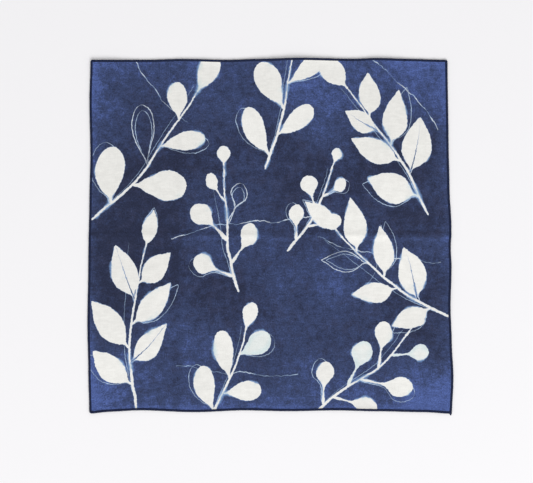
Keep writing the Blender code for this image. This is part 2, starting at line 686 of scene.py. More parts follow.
    def fine_lines(self, graph: Graph, place: Value) -> bpy.types.NodeSocket:
        """How deep inside one of the fine lines a place lies.

        Args:
            graph: The design's graph.
            place: Where on the cloth.

        Returns:
            The depth in metres.
        """
        shape = self.fine_line()
        thick = graph.ramp(graph.noise(place, *self.press).outputs[0], *self.thickness)
        wander = graph.math("SUBTRACT", graph.noise(place, *self.wander).outputs[0], 0.5)
        wander = graph.math("MULTIPLY", wander, self.stray)
        deepest = FAR_OUTSIDE
        for tendril in self.tendrils:
            made = graph.use(
                shape, Place=place, Base=(tendril.x, tendril.y, 0.0),
                Turn=(0.0, 0.0, radians(tendril.turn)), Length=tendril.length,
                Width=tendril.width, Bow=tendril.bow, Wander=wander, Thick=thick,
            )
            deepest = graph.math("MAXIMUM", deepest, made.outputs["Depth"])
        return deepest

    def fine_line(self) -> bpy.types.NodeTree:
        """Node group that says how deep inside a fine line a place lies.

        Returns:
            A group whose Depth is in metres, above zero on the line.
        """
        graph = Graph.group(
            "fine_line",
            {"Place": "Vector", "Base": "Vector", "Turn": "Vector", "Length": "Float",
             "Width": "Float", "Bow": "Float", "Wander": "Float", "Thick": "Float"},
            {"Depth": "Float"},
        )
        given = graph.given
        local = graph.node("ShaderNodeMapping", vector_type="TEXTURE")
        for name, source in (("Vector", "Place"), ("Location", "Base"), ("Rotation", "Turn")):
            graph.feed(local.inputs[name], given[source])
        along, aside = graph.split(local.outputs[0])
        share = graph.math("DIVIDE", along, given["Length"])
        swing = graph.math("MULTIPLY", graph.math("MULTIPLY", share, along), given["Bow"])
        swing = graph.math("ADD", swing, given["Wander"])
        off_line = graph.math("ABSOLUTE", graph.math("SUBTRACT", aside, swing))
        half_width = graph.math("MULTIPLY", graph.math("MULTIPLY", given["Width"], 0.5),
                                given["Thick"])
        middle = graph.math("ABSOLUTE", graph.math("SUBTRACT", share, 0.5))
        past_end = graph.math("MULTIPLY", graph.math("SUBTRACT", middle, 0.5), given["Length"])
        off_line = graph.math("MAXIMUM", off_line, past_end)
        graph.feed(graph.result["Depth"], graph.math("SUBTRACT", half_width, off_line))
        return graph.tree


@dataclass(frozen=True)
class PlainWeave:
    """The cotton's plain weave, on the scale of its threads and of its slubs.

    Attributes:
        sway: The pattern in which the threads sway from straight.
        warp_sway: How many threads aside it takes a warp thread.
        weft_sway: How many threads aside it takes a weft thread.
        thread: The uneven shade of single threads.
        warp_run: How that shade is drawn out along the warp.
        weft_run: How that shade is drawn out along the weft.
        slub: The thicker stretches of the weft.
        slub_run: How they are drawn out along it.
        missed: The places where the dye missed a thread.
    """

    sway: Clouds = Clouds(90, 2)
    warp_sway: float = 3.0
    weft_sway: float = -2.0
    thread: Clouds = Clouds(900, 3, 0.65)
    warp_run: float = 0.10
    weft_run: float = 0.06
    slub: Clouds = Clouds(330, 3, 0.6)
    slub_run: float = 0.30
    missed: Clouds = Clouds(700, 2, 0.7)

    def group(self) -> bpy.types.NodeTree:
        """Node group of the weave.

        Returns:
            A group whose outputs run from 0 to 1. Height follows the crossing threads, Tone is
            the uneven shade of single threads, Slub that of thicker stretches of the weft, and
            Grain that of the places where the dye missed a thread.
        """
        graph = Graph.group("plain_weave", {"Place": "Vector", "Pitch": "Float"},
                            {"Height": "Float", "Tone": "Float", "Slub": "Float",
                             "Grain": "Float"})
        place, pitch = graph.given["Place"], graph.given["Pitch"]
        across, up = graph.split(place)
        sway = graph.noise(place, *self.sway).outputs[0]
        warp = graph.math("MULTIPLY_ADD", sway, self.warp_sway,
                          graph.math("DIVIDE", across, pitch))
        weft = graph.math("MULTIPLY_ADD", sway, self.weft_sway, graph.math("DIVIDE", up, pitch))
        crossing = graph.math(
            "MULTIPLY",
            graph.math("SINE", graph.math("MULTIPLY", warp, pi)),
            graph.math("SINE", graph.math("MULTIPLY", weft, pi)),
        )
        along_warp = graph.stretch(place, 1.0, self.warp_run)
        warp_tone = graph.noise(along_warp, *self.thread).outputs[0]
        along_weft = graph.stretch(place, self.weft_run, 1.0)
        weft_tone = graph.noise(along_weft, *self.thread).outputs[0]
        over = graph.math("GREATER_THAN", crossing, 0.0)
        tone = graph.math("MULTIPLY_ADD", over, graph.math("SUBTRACT", warp_tone, weft_tone),
                          weft_tone)
        slub = graph.noise(graph.stretch(place, self.slub_run, 1.0), *self.slub).outputs[0]
        grain = graph.noise(place, *self.missed).outputs[0]
        graph.feed(graph.result["Height"], graph.math("MULTIPLY", crossing, crossing))
        graph.feed(graph.result["Tone"], tone)
        graph.feed(graph.result["Slub"], slub)
        graph.feed(graph.result["Grain"], grain)
        return graph.tree


@dataclass(frozen=True)
class PrintedCotton:
    """The dyed and printed cloth's finish.

    Attributes:
        name: The material's name.
        deep: The dye where it took most.
        middle: The dye's usual shade.
        bright: The dye where it washed thin.
        violet: The warmer cast of the dye in patches.
        white: The undyed cloth.
        tint: The undyed cloth where some dye has soaked in.
        bleed: The pale blue at the edges of the white shapes.
        line: The fine lines.
        hem: The dye under the hem's thread.
        show: How strongly the print shows on this side.
        pitch: Spacing of the threads.
        side_fold: Where the fold line up the cloth runs, from its left edge.
        hem_edge: Where the hem's dye gives way to the open cloth, inwards from the edge.
        roughness: How matt the cloth is.
        gloss: How strongly it shines.
        sheen: How much its fibres catch the light.
        sheen_roughness: How widely they spread it.
        bump: How strongly the weave shows as relief.
        relief: Height of the weave.
        dye_grain: The dye's strength where it took on the threads or missed them.
        dye_slub: The dye's strength on the thicker stretches.
        slub_shade: The cloth's shade on the thicker stretches.
        thread_shade: The cloth's shade from thread to thread.
        weave_gap_shade: Painted shade in the gaps between threads, and painted light on their
            crowns.
        drift: The widest unevenness of the cloth.
        drift_shade: The cloth's shade over that.
        mottle: The small unevenness of the cloth.
        mottle_shade: The cloth's shade over that.
        dye_clouds: The dye's unevenness from wide to fine, each with its strength.
        deep_to_middle: Levels of the dye between its deepest and its usual shade.
        middle_to_bright: Levels of the dye between its usual and its brightest shade.
        cast: The patches of the warmer cast.
        cast_patch: Where they begin and where they are full.
        cast_share: How the warmer cast gives way as the dye brightens.
        corner_from: Square of the share of the way to an end from which the corners brighten.
        corner_gain: How much brighter the corners are.
        end_gain: How much brighter the upper and lower ends are.
        base_level: The dye's level in the middle.
        side_glow: The brighter bands at the left and right edges.
        foot_highlight: Painted highlight in a band along the lower edge, where the cloth faces the
            lamp.
        fold_sway: How the painted light and shade along the pressed folds, and their wear, stray.
        fold_shade_and_wear_clouds: How it comes and goes along them.
        fold_patch: How strong that leaves it.
        fold_near: Where the painted light, shade and wear fade in beside a fold, in its own
            reaches.
        cross_shade_and_wear: Reach and strength of painted light, shade and wear on the middle
            fold's flanks. A reach below zero makes the other flank the paler one.
        side_shade_and_wear: Reach and strength of painted light, shade and wear on the side fold's
            flanks.
        soak: The patches where the print's edges bled.
        softness: How wide the bleed is from patch to patch.
        halo_reach: How far outside a shape its bleed runs, in that width.
        halo_strength: How strong the bleed is there.
        edge_reach: How far outside a shape its white begins, in that width.
        line_edge: The edge of a fine line.
        line_patch: How strong the fine lines are from patch to patch.
        line_core: Depths inside a fine line over which it turns white.
        soaked_edge: The edge of the stain in a shape that soaked up dye.
        soaked_patch: How strong that stain is from patch to patch.
        soaked_core: How it fades towards such a shape's middle.
        stain_depth: How deep inside any other shape a stain runs.
        stain_patch: The patches where it does.
    """

    name: str = "printed_cotton_face"
    deep: Colour = shade(37, 44, 71)
    middle: Colour = shade(54, 67, 105)
    bright: Colour = shade(76, 95, 154)
    violet: Colour = shade(51, 56, 84)
    white: Colour = shade(240, 239, 235)
    tint: Colour = shade(216, 230, 231)
    bleed: Colour = shade(116, 149, 196)
    line: Colour = shade(170, 198, 232)
    hem: Colour = shade(20, 31, 62)
    show: float = 1.0
    pitch: float = 0.00044
    side_fold: float = 0.119
    hem_edge: Ease = Ease(0.0030, 0.0026)
    roughness: float = 0.88
    gloss: float = 0.25
    sheen: float = 0.06
    sheen_roughness: float = 0.5
    bump: float = 0.5
    relief: float = 0.00010
    dye_grain: Ease = Ease(0.3, 0.7, 0.68, 1.34)
    dye_slub: Ease = Ease(0.3, 0.7, 0.90, 1.10)
    slub_shade: Ease = Ease(0.3, 0.7, 0.965, 1.015)
    thread_shade: Ease = Ease(0.25, 0.75, 0.96, 1.03)
    # Painted shade in the weave's gaps and painted light on its crowns.
    weave_gap_shade: Ease = Ease(0.0, 0.5, 0.94, 1.08)
    drift: Clouds = Clouds(6, 1)
    drift_shade: Ease = Ease(0.35, 0.65, 0.965, 1.02)
    mottle: Clouds = Clouds(85, 2, 0.6)
    mottle_shade: Ease = Ease(0.32, 0.68, 0.978, 1.016)
    dye_clouds: tuple[tuple[Clouds, float], ...] = (
        (Clouds(8, 1, 0.5), 0.62),
        (Clouds(30, 3, 0.6), 0.33),
        (Clouds(105, 3, 0.6), 0.52),
        (Clouds(340, 2, 0.7), 0.36),
    )
    deep_to_middle: Ease = Ease(-0.20, 0.16)
    middle_to_bright: Ease = Ease(0.10, 0.50)
    cast: Clouds = Clouds(60, 4, 0.65)
    cast_patch: Ease = Ease(0.46, 0.66)
    cast_share: Ease = Ease(0.30, 0.0, 0.0, 0.45)
    corner_from: float = 0.22
    corner_gain: float = 0.28
    end_gain: float = 0.24
    base_level: float = -0.02
    side_glow: Ease = Ease(0.84, 0.98, 0.0, 0.14)
    # Painted highlight along the lower edge, on the lamp's side.
    foot_highlight: Ease = Ease(0.010, 0.003, 0.0, 0.13)
    # Painted light and shade on the pressed folds' flanks, with some wear along them.
    fold_sway: Clouds = Clouds(14, 2)
    fold_shade_and_wear_clouds: Clouds = Clouds(11, 1)
    fold_patch: Ease = Ease(0.35, 0.62, 0.30, 0.75)
    fold_near: Ease = Ease(2.4, 0.4)
    cross_shade_and_wear: tuple[float, float] = (-0.0040, 0.19)
    side_shade_and_wear: tuple[float, float] = (0.0080, 0.10)
    soak: Clouds = Clouds(30, 3, 0.6)
    softness: Ease = Ease(0.48, 0.70, 0.0003, 0.0020)
    halo_reach: float = 1.6
    halo_strength: float = 0.9
    edge_reach: float = 0.3
    line_edge: Ease = Ease(-0.0003, 0.0003)
    line_patch: Ease = Ease(0.36, 0.60, 0.45, 0.95)
    line_core: Ease = Ease(0.0002, 0.0005)
    soaked_edge: Ease = Ease(0.0, 0.0010)
    soaked_patch: Ease = Ease(0.62, 0.40, 0.35, 1.0)
    soaked_core: Ease = Ease(0.0080, 0.0015, 0.45, 1.0)
    stain_depth: Ease = Ease(0.0080, 0.0010)
    stain_patch: Ease = Ease(0.58, 0.76)

    def material(self, design: bpy.types.NodeTree, weave: bpy.types.NodeTree,
                 span: tuple[float, float]) -> bpy.types.Material:
        """Builds the material.

        Args:
            design: The print's node group.
            weave: The weave's node group.
            span: The flat cloth's width and length.

        Returns:
            The finished material.
        """
        made = bpy.data.materials.new(self.name)
        made.use_nodes = True
        graph = Graph(made.node_tree)
        surface = made.node_tree.nodes["Principled BSDF"]
        place = graph.node("ShaderNodeUVMap", uv_map=CLOTH_MAP).outputs[0]
        print_node = graph.use(design, Place=place)
        weave_node = graph.use(weave, Place=place, Pitch=self.pitch)
        dyed = self.dyed(graph, place, span)
        grain, slub = weave_node.outputs["Grain"], weave_node.outputs["Slub"]
        dyed = self.scaled(graph, dyed, graph.ramp(grain, *self.dye_grain))
        dyed = self.scaled(graph, dyed, graph.ramp(slub, *self.dye_slub))
        printed = self.printed(graph, place, dyed, print_node)
        slubs = graph.ramp(slub, *self.slub_shade)
        tones = graph.ramp(weave_node.outputs["Tone"], *self.thread_shade)
        # Painted shade in the weave's gaps and painted light on its crowns.
        weave_shading = graph.ramp(weave_node.outputs["Height"], *self.weave_gap_shade)
        drifting = graph.ramp(graph.noise(place, *self.drift).outputs[0], *self.drift_shade)
        mottled = graph.ramp(graph.noise(place, *self.mottle).outputs[0], *self.mottle_shade)
        toned = graph.math("MULTIPLY", graph.math("MULTIPLY", slubs, tones), drifting)
        toned = graph.math("MULTIPLY", graph.math("MULTIPLY", toned, weave_shading), mottled)
        colour = self.scaled(graph, printed, toned)
        hemmed = graph.blend(self.in_hem(graph, place, span), colour, self.hem)
        graph.feed(surface.inputs["Base Color"], hemmed)
        surface.inputs["Roughness"].default_value = self.roughness
        surface.inputs["Specular IOR Level"].default_value = self.gloss
        surface.inputs["Sheen Weight"].default_value = self.sheen
        surface.inputs["Sheen Roughness"].default_value = self.sheen_roughness
        bump = graph.node("ShaderNodeBump")
        bump.inputs["Strength"].default_value = self.bump
        bump.inputs["Distance"].default_value = self.relief
        graph.feed(bump.inputs["Height"], weave_node.outputs["Height"])
        graph.feed(surface.inputs["Normal"], bump.outputs[0])
        return made

    def scaled(self, graph: Graph, colour: Value, factor: Value) -> Value:
        """A colour made lighter or darker.

        Args:
            graph: The material's graph.
            colour: The colour.
            factor: How many times as light it gets.

        Returns:
            The new colour.
        """
        made = graph.node("ShaderNodeVectorMath", operation="SCALE")
        graph.feed(made.inputs["Vector"], colour)
        graph.feed(made.inputs["Scale"], factor)
        return made.outputs[0]

    def dyed(self, graph: Graph, place: Value, span: tuple[float, float]) -> Value:
        """The blue ground, cloudy as hand-dyed cloth is, and brighter towards its ends.

        Args:
            graph: The material's graph.
            place: Where on the cloth.
            span: The flat cloth's width and length.

        Returns:
            The ground's colour, with its painted light and shade.
        """
        level = self.towards_ends(graph, place, span)
        for clouds, strength in self.dye_clouds:
            cloud = graph.noise(place, *clouds).outputs[0]
            centred = graph.math("SUBTRACT", cloud, 0.5)
            level = graph.math("MULTIPLY_ADD", centred, strength, level)
        # Painted light and shade on the pressed folds' flanks, with some wear along them.
        level = graph.math("ADD", level, self.pressed(graph, place, span))
        low = graph.blend(graph.ramp(level, *self.deep_to_middle), self.deep, self.middle)
        blue = graph.blend(graph.ramp(level, *self.middle_to_bright), low, self.bright)
        cast = graph.noise(place, *self.cast).outputs[0]
        dark_part = graph.ramp(level, *self.cast_share)
        cast = graph.math("MULTIPLY", graph.ramp(cast, *self.cast_patch), dark_part)
        return graph.blend(cast, blue, self.violet)

    def towards_ends(self, graph: Graph, place: Value, span: tuple[float, float]) -> Value:
        """How much brighter the dye is towards the cloth's ends, and darker along its middle.

        Args:
            graph: The material's graph.
            place: Where on the cloth.
            span: The flat cloth's width and length.

        Returns:
            What that gives the dye's level, with the painted highlight along the lower edge.
        """
        shares = []
        for part, extent in zip(graph.split(place), span):
            share = graph.math("MULTIPLY_ADD", part, 2 / extent, -1.0)
            shares.append(graph.math("MULTIPLY", share, share))
        side, end = shares
        corner = graph.math("MULTIPLY", side, graph.math("SUBTRACT", end, self.corner_from))
        level = graph.math("MULTIPLY_ADD", corner, self.corner_gain, self.base_level)
        level = graph.math("ADD", level, graph.ramp(side, *self.side_glow))
        # Painted highlight in a band along the lower edge, on the lamp's side.
        up = graph.split(place)[1]
        level = graph.math("ADD", level, graph.ramp(up, *self.foot_highlight))
        return graph.math("MULTIPLY_ADD", end, self.end_gain, level)

    def pressed(self, graph: Graph, place: Value, span: tuple[float, float]) -> Value:
        """Painted light and shade on the pressed folds' flanks, with some dye rubbed along them.

        Args:
            graph: The material's graph.
            place: Where on the cloth.
            span: The flat cloth's width and length.

        Returns:
            What the painted light, shade and wear of the folds add to the dye's level.
        """
        across, up = graph.split(place)
        sway = graph.math("SUBTRACT", graph.noise(place, *self.fold_sway).outputs[0], 0.5)
        uneven = graph.ramp(graph.noise(place, *self.fold_shade_and_wear_clouds).outputs[0], *self.fold_patch)
        flanks = []
        # The flank that faces the lamp is painted paler, and the other darker.
        for part, fold, (reach, strength) in (
            (up, span[1] / 2, self.cross_shade_and_wear), (across, self.side_fold, self.side_shade_and_wear),
        ):
            off = graph.math("DIVIDE", graph.math("SUBTRACT", part, fold), reach)
            off = graph.math("ADD", off, sway)
            near = graph.ramp(graph.math("ABSOLUTE", off), *self.fold_near._replace(end=strength))
            flanks.append(graph.math("MULTIPLY", off, near))
        return graph.math("MULTIPLY", graph.math("ADD", *flanks), uneven)

    def printed(self, graph: Graph, place: Value, dyed: Value,
                print_node: bpy.types.Node) -> Value:
        """The white shapes on the ground, with the pale bleed around and just inside them.

        Args:
            graph: The material's graph.
            place: Where on the cloth.
            dyed: The blue ground.
            print_node: The placed print group.

        Returns:
            The printed cloth's colour.
        """
        depth, soaked, line = (print_node.outputs[ink.value] for ink in Ink)
        patchy = graph.noise(place, *self.soak).outputs[0]
        soft = graph.ramp(patchy, *self.softness)
        halo_from = graph.math("MULTIPLY", soft, -self.halo_reach)
        white_from = graph.math("MULTIPLY", soft, -self.edge_reach)
        halo = graph.ramp(depth, halo_from, 0.0, 0.0, self.halo_strength * self.show)
        with_halo = graph.blend(halo, dyed, self.bleed)
        line_strength = self.line_patch._replace(end=self.line_patch.end * self.show)
        lined = graph.math("MULTIPLY", graph.ramp(line, *self.line_edge),
                           graph.ramp(patchy, *line_strength))
        fine = graph.blend(graph.ramp(line, *self.line_core), self.line, self.white)
        with_lines = graph.blend(lined, with_halo, fine)
        stained = graph.math("MULTIPLY", graph.ramp(soaked, *self.soaked_edge),
                             graph.ramp(patchy, *self.soaked_patch))
        stained = graph.math("MULTIPLY", stained, graph.ramp(soaked, *self.soaked_core))
        at_edges = graph.math("MULTIPLY", graph.ramp(depth, *self.stain_depth),
                              graph.ramp(patchy, *self.stain_patch))
        stained = graph.math("MAXIMUM", stained, at_edges)
        white = graph.blend(stained, self.white, self.tint)
        inside = graph.math("MULTIPLY", graph.ramp(depth, white_from, soft), self.show)
        return graph.blend(inside, with_lines, white)

    def in_hem(self, graph: Graph, place: Value, span: tuple[float, float]) -> Value:
        """One within the rolled hem, and zero on the open cloth.

        Args:
            graph: The material's graph.
            place: Where on the cloth.
            span: The flat cloth's width and length.

        Returns:
            The share of hem.
        """
        distances = []
        for part, extent in zip(graph.split(place), span):
            middle = graph.math("SUBTRACT", part, extent / 2)
            distances.append(graph.math("SUBTRACT", extent / 2, graph.math("ABSOLUTE", middle)))
        inward = graph.math("MINIMUM", *distances)
        return graph.ramp(inward, *self.hem_edge)


@dataclass(frozen=True)
class OverlockThread:
    """The hem thread's finish: dark navy, fluffy and slightly uneven in tone.

    Attributes:
        name: The material's name.
        dark: Its darker shade.
        light: Its lighter shade.
        tone: The patches of either shade.
        tone_change: Where one gives way to the other.
        fibre: The relief of its fibres.
        relief: Height of that relief.
        bump: How strongly it shows.
        roughness: How matt the thread is.
        gloss: How strongly it shines.
    """

    name: str = "navy_thread"
    dark: Colour = shade(9, 16, 42)
    light: Colour = shade(22, 35, 72)
    tone: Clouds = Clouds(700, 3, 0.6)
    tone_change: Ease = Ease(0.35, 0.65)
    fibre: Clouds = Clouds(4200, 3, 0.7)
    relief: float = 0.00012
    bump: float = 0.4
    roughness: float = 0.78
    gloss: float = 0.3

    def material(self) -> bpy.types.Material:
        """Builds the material.

        Returns:
            The finished material.
        """
        made = bpy.data.materials.new(self.name)
        made.use_nodes = True
        graph = Graph(made.node_tree)
        surface = made.node_tree.nodes["Principled BSDF"]
        place = graph.node("ShaderNodeTexCoord").outputs["Object"]
        tone = graph.noise(place, *self.tone)
        fibre = graph.noise(place, *self.fibre)
        tone.noise_dimensions = fibre.noise_dimensions = "3D"
        share = graph.ramp(tone.outputs[0], *self.tone_change)
        graph.feed(surface.inputs["Base Color"], graph.blend(share, self.dark, self.light))
        surface.inputs["Roughness"].default_value = self.roughness
        surface.inputs["Specular IOR Level"].default_value = self.gloss
        bump = graph.node("ShaderNodeBump")
        bump.inputs["Strength"].default_value = self.bump
        bump.inputs["Distance"].default_value = self.relief
        graph.feed(bump.inputs["Height"], fibre.outputs[0])
        graph.feed(surface.inputs["Normal"], bump.outputs[0])
        return made


class SolidGuide:
    """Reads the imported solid, so that the visible cloth lies where it does.

    Attributes:
        outside: How far outside the solid's box its edges are looked for from.
        blur: How far around a point its heights are averaged, which softens its facets.
    """

    outside: ClassVar[float] = 0.006
    blur: ClassVar[float] = 0.0035

    def __init__(self, node: bpy.types.Object) -> None:
        """Keeps a searchable copy of the node's mesh and its box.

        Args:
            node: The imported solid's object.
        """
        solid = bmesh.new()
        solid.from_mesh(node.data)
        bmesh.ops.remove_doubles(solid, verts=solid.verts[:], dist=SAME_POINT)
        self.tree = BVHTree.FromBMesh(solid)
        solid.free()
        self.low, self.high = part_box(node.name)

    @property
    def span(self) -> tuple[float, float]:
        """Width and length of the solid's box."""
        return self.high.x - self.low.x, self.high.y - self.low.y

    def edge(self, axis: int, at_high: bool, place: float) -> float:
        """Where one of the solid's edges runs.

        Args:
            axis: 0 for the left and right edges, 1 for the bottom and top ones.
            at_high: Whether it is the right or top edge.
            place: How far along the edge, from the box's lower left corner.

        Returns:
            The edge's place on that axis.
        """
        start = Vector((0.0, 0.0, MILLIMETRE))
        start[axis] = self.high[axis] + self.outside if at_high else self.low[axis] - self.outside
        start[1 - axis] = self.low[1 - axis] + place
        nearest = self.tree.find_nearest(start)[0]
        return nearest[axis]

    def lift(self, x: float, y: float) -> float:
        """How far the solid's underside stands off the table, averaged around a point.

        Args:
            x: The point's place across, from the solid's origin.
            y: Its place up.

        Returns:
            The height, which is nothing outside the solid.
        """
        heights = []
        for across in (-self.blur, 0.0, self.blur):
            for up in (-self.blur, 0.0, self.blur):
                below = Vector((x + across, y + up, -MILLIMETRE))
                hit = self.tree.ray_cast(below, Vector((0.0, 0.0, 1.0)))[0]
                if hit is not None:
                    heights.append(hit.z)
        return sum(heights) / len(heights) if heights else 0.0


@dataclass(frozen=True)
class Crease:
    """A soft ridge or trough in the cloth, along a straight line from the solid's origin.

    Attributes:
        x: Middle of the crease across.
        y: Middle of the crease up.
        turn: Its direction, in degrees from +X.
        length: How long it is.
        height: How far its crown stands up, or below zero for a trough.
        reach: How far its flanks run to the side.
        sharp: How sharp its crown is, from 0 for round to 1 for a pressed line.
    """

    x: float
    y: float
    turn: float
    length: float
    height: float
    reach: float
    sharp: float = 0.0

    def at(self, x: float, y: float) -> float:
        """Its height at a point, nothing past its ends and flanks.

        Args:
            x: The point's place across.
            y: The point's place up.

        Returns:
            The height.
        """
        turn = radians(self.turn)
        along = ((x - self.x) * cos(turn) + (y - self.y) * sin(turn)) / (self.length / 2)
        aside = abs((y - self.y) * cos(turn) - (x - self.x) * sin(turn)) / self.reach
        if abs(along) >= 1.0 or aside >= 1.0:
            return 0.0
        round_flank = (1.0 + cos(pi * aside)) / 2
        sharp_flank = (1.0 - aside) ** 2
        flank = round_flank + (sharp_flank - round_flank) * self.sharp
        return self.height * flank * (1.0 - along ** 4)


CREASES = (
    # x, y, turn, length, height, reach, sharp. First the pressed middle fold, in stretches of
    # uneven height.
    Crease(-0.170, 0.0002, 0.3, 0.150, 0.00060, 0.0050, 0.7),
    Crease(-0.060, 0.0006, -0.5, 0.170, 0.00095, 0.0055, 0.8),
    Crease(0.070, -0.0004, 0.4, 0.170, 0.00080, 0.0050, 0.8),
    Crease(0.180, 0.0004, -0.4, 0.140, 0.00030, 0.0055, 0.7),
    # The side fold a quarter of the way across, which has nearly pressed out.
    Crease(-0.1115, -0.105, 90.5, 0.150, 0.00060, 0.0070, 0.4),
    Crease(-0.1125, 0.085, 89.5, 0.130, 0.00060, 0.0070, 0.4),
    # Small wrinkles.
    Crease(-0.0725, 0.112, 42.0, 0.026, 0.00060, 0.0035, 0.5),
    Crease(-0.172, 0.148, -62.0, 0.030, 0.00040, 0.0035, 0.3),
    Crease(-0.162, 0.156, -58.0, 0.024, 0.00035, 0.0030, 0.3),
    Crease(-0.180, 0.137, -66.0, 0.022, 0.00030, 0.0030, 0.3),
    Crease(0.060, -0.130, 12.0, 0.060, 0.00030, 0.0060),
    Crease(-0.095, -0.165, -24.0, 0.070, 0.00035, 0.0070),
    Crease(-0.020, -0.075, -9.0, 0.120, 0.00040, 0.0100),
    Crease(0.120, 0.090, 74.0, 0.060, 0.00030, 0.0060),
    Crease(0.175, -0.150, -38.0, 0.060, 0.00035, 0.0060),
)


class Rise(NamedTuple):
    """An uneven rise of the cloth.

    Attributes:
        height: How high it stands.
        along: How wide its swells are one way.
        aside: How wide they are the other way.
        layer: Picks its pattern.
        bias: How much of the cloth it raises, from -1 for none to 1 for all.
    """

    height: float
    along: float
    aside: float
    layer: float
    bias: float

    def at(self, first: float, second: float, share: float = 1.0) -> float:
        """Its height at a place both ways, times a share."""
        cloud = noise.noise(Vector((first / self.along, second / self.aside, self.layer)))
        return self.height * share * max(0.0, cloud + self.bias)


@dataclass
class Cloth:
    """The napkin's cloth: a thin sheet on the solid's folds, with its rolled hem.

    Attributes:
        guide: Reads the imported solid.
        thickness: Thickness of the cotton.
        hem_width: Width of the roll along every edge.
        hem_height: Thickness of the roll without its thread.
        hem_angles: Degrees around the roll at which its section has its lines.
        hem_tip: Half the thickness left at its outermost line.
        thread: How far the thread lifts the roll off the table.
        cell: Widest spacing of the sheet's grid.
        settle: Distance from the hem over which the cloth sinks to the table.
        pucker: The small gathers that the hem's thread draws in.
        pucker_fade: Distance from the hem over which they fade.
        billow: The cloth's wide unevenness.
        crumple: The faint unevenness that is left between its wrinkles.
        creases: Its folds and small wrinkles.
        bake_across: Where the cloth's width lies on its baking map.
        bake_face: Where the length of its printed side lies on that map.
        bake_reverse: Where the length of its reverse lies on that map.
        piece: The finished piece, once it is built.
    """

    guide: SolidGuide
    thickness: float = 0.00045
    hem_width: float = 0.0028
    hem_height: float = 0.0014
    hem_angles: tuple[int, ...] = (0, 32, 62, 90, 118, 148, 180)
    hem_tip: float = 0.0001
    thread: float = 0.00022
    cell: float = 0.0025
    settle: float = 0.004
    pucker: Rise = Rise(height=0.00035, along=0.009, aside=0.020, layer=3.0, bias=0.30)
    pucker_fade: float = 0.007
    billow: Rise = Rise(height=0.00045, along=0.055, aside=0.070, layer=9.0, bias=0.15)
    crumple: Rise = Rise(height=0.00015, along=0.015, aside=0.008, layer=5.0, bias=1.0)
    creases: tuple[Crease, ...] = CREASES
    bake_across: tuple[float, float] = (0.002, 0.998)
    bake_face: tuple[float, float] = (0.336, 0.998)
    bake_reverse: tuple[float, float] = (0.002, 0.330)
    piece: bpy.types.Object = field(init=False)

    @property
    def roll(self) -> tuple[tuple[float, float, float], ...]:
        """The section of the rolled hem.

        Returns:
            Its lines from the edge inwards: how far in each lies, and its lower and upper height.
        """
        lines = []
        middle = self.thread + self.hem_height / 2
        for angle in self.hem_angles:
            inward = self.hem_width / 2 * (1 - cos(radians(angle)))
            bulge = self.hem_height / 2 * sin(radians(angle))
            flat = self.thickness / 2 if angle == self.hem_angles[-1] else self.hem_tip
            half = max(bulge, flat)
            lines.append((inward, middle - half, middle + half))
        return tuple(lines)

    def lines(self, span: float) -> list[float]:
        """Places of the grid's lines across a span, closer together in the hem.

        Args:
            span: The flat cloth's width or length.

        Returns:
            The places, from low to high.
        """
        hem = [inward for inward, _, _ in self.roll]
        inner = span - 2 * hem[-1]
        cells = ceil(inner / self.cell)
        open_cloth = [hem[-1] + inner * cell / cells for cell in range(1, cells)]
        return hem + open_cloth + [span - inward for inward in reversed(hem)]

    @cached_property
    def edges(self) -> dict[tuple[int, bool], tuple[list[float], list[float]]]:
        """Each edge of the solid, read at the grid's lines.

        Returns:
            For each axis, and for its low and its high edge, the places and where it runs there.
        """
        found = {}
        for axis in (0, 1):
            places = self.lines(self.guide.span[1 - axis])
            for at_high in (False, True):
                runs = [self.guide.edge(axis, at_high, place) for place in places]
                found[axis, at_high] = (places, runs)
        return found

    def edge(self, axis: int, at_high: bool, place: float) -> float:
        """Where an edge runs at a place along it, between the lines that were read.

        Args:
            axis: 0 for the left and right edges, 1 for the bottom and top ones.
            at_high: Whether it is the right or top edge.
            place: How far along the edge.

        Returns:
            The edge's place on that axis.
        """
        places, runs = self.edges[axis, at_high]
        after = min(max(bisect_left(places, place), 1), len(places) - 1)
        gap = places[after] - places[after - 1]
        share = min(max((place - places[after - 1]) / gap, 0.0), 1.0)
        return runs[after - 1] + (runs[after] - runs[after - 1]) * share

    def rounded(self, across: float, up: float) -> tuple[float, float]:
        """A flat place with the cloth's four corners rounded over the hem's width.

        Args:
            across: The place across the flat cloth.
            up: The place up the flat cloth.

        Returns:
            The place once the corners are rounded.
        """
        turned = []
        for place, extent in zip((across, up), self.guide.span):
            inward = min(place, extent - place)
            turned.append(max(0.0, 1.0 - inward / self.hem_width))
        first, second = turned
        # A square's points moved onto a disc, which takes its edge onto the circle.
        shrunk = (first * sqrt(1 - second * second / 2), second * sqrt(1 - first * first / 2))
        placed = []
        for place, extent, before, after in zip((across, up), self.guide.span, turned, shrunk):
            step = (before - after) * self.hem_width
            placed.append(place + step if place < extent / 2 else place - step)
        return placed[0], placed[1]

    def plan_point(self, across: float, up: float) -> tuple[float, float]:
        """Where a flat place lies on the table, between the solid's uneven edges.

        Args:
            across: The place across the flat cloth.
            up: The place up the flat cloth.

        Returns:
            The point's X and Y.
        """
        across, up = self.rounded(across, up)
        width, length = self.guide.span
        left, right = self.edge(0, False, up), self.edge(0, True, up)
        bottom, top = self.edge(1, False, across), self.edge(1, True, across)
        return left + (right - left) * across / width, bottom + (top - bottom) * up / length

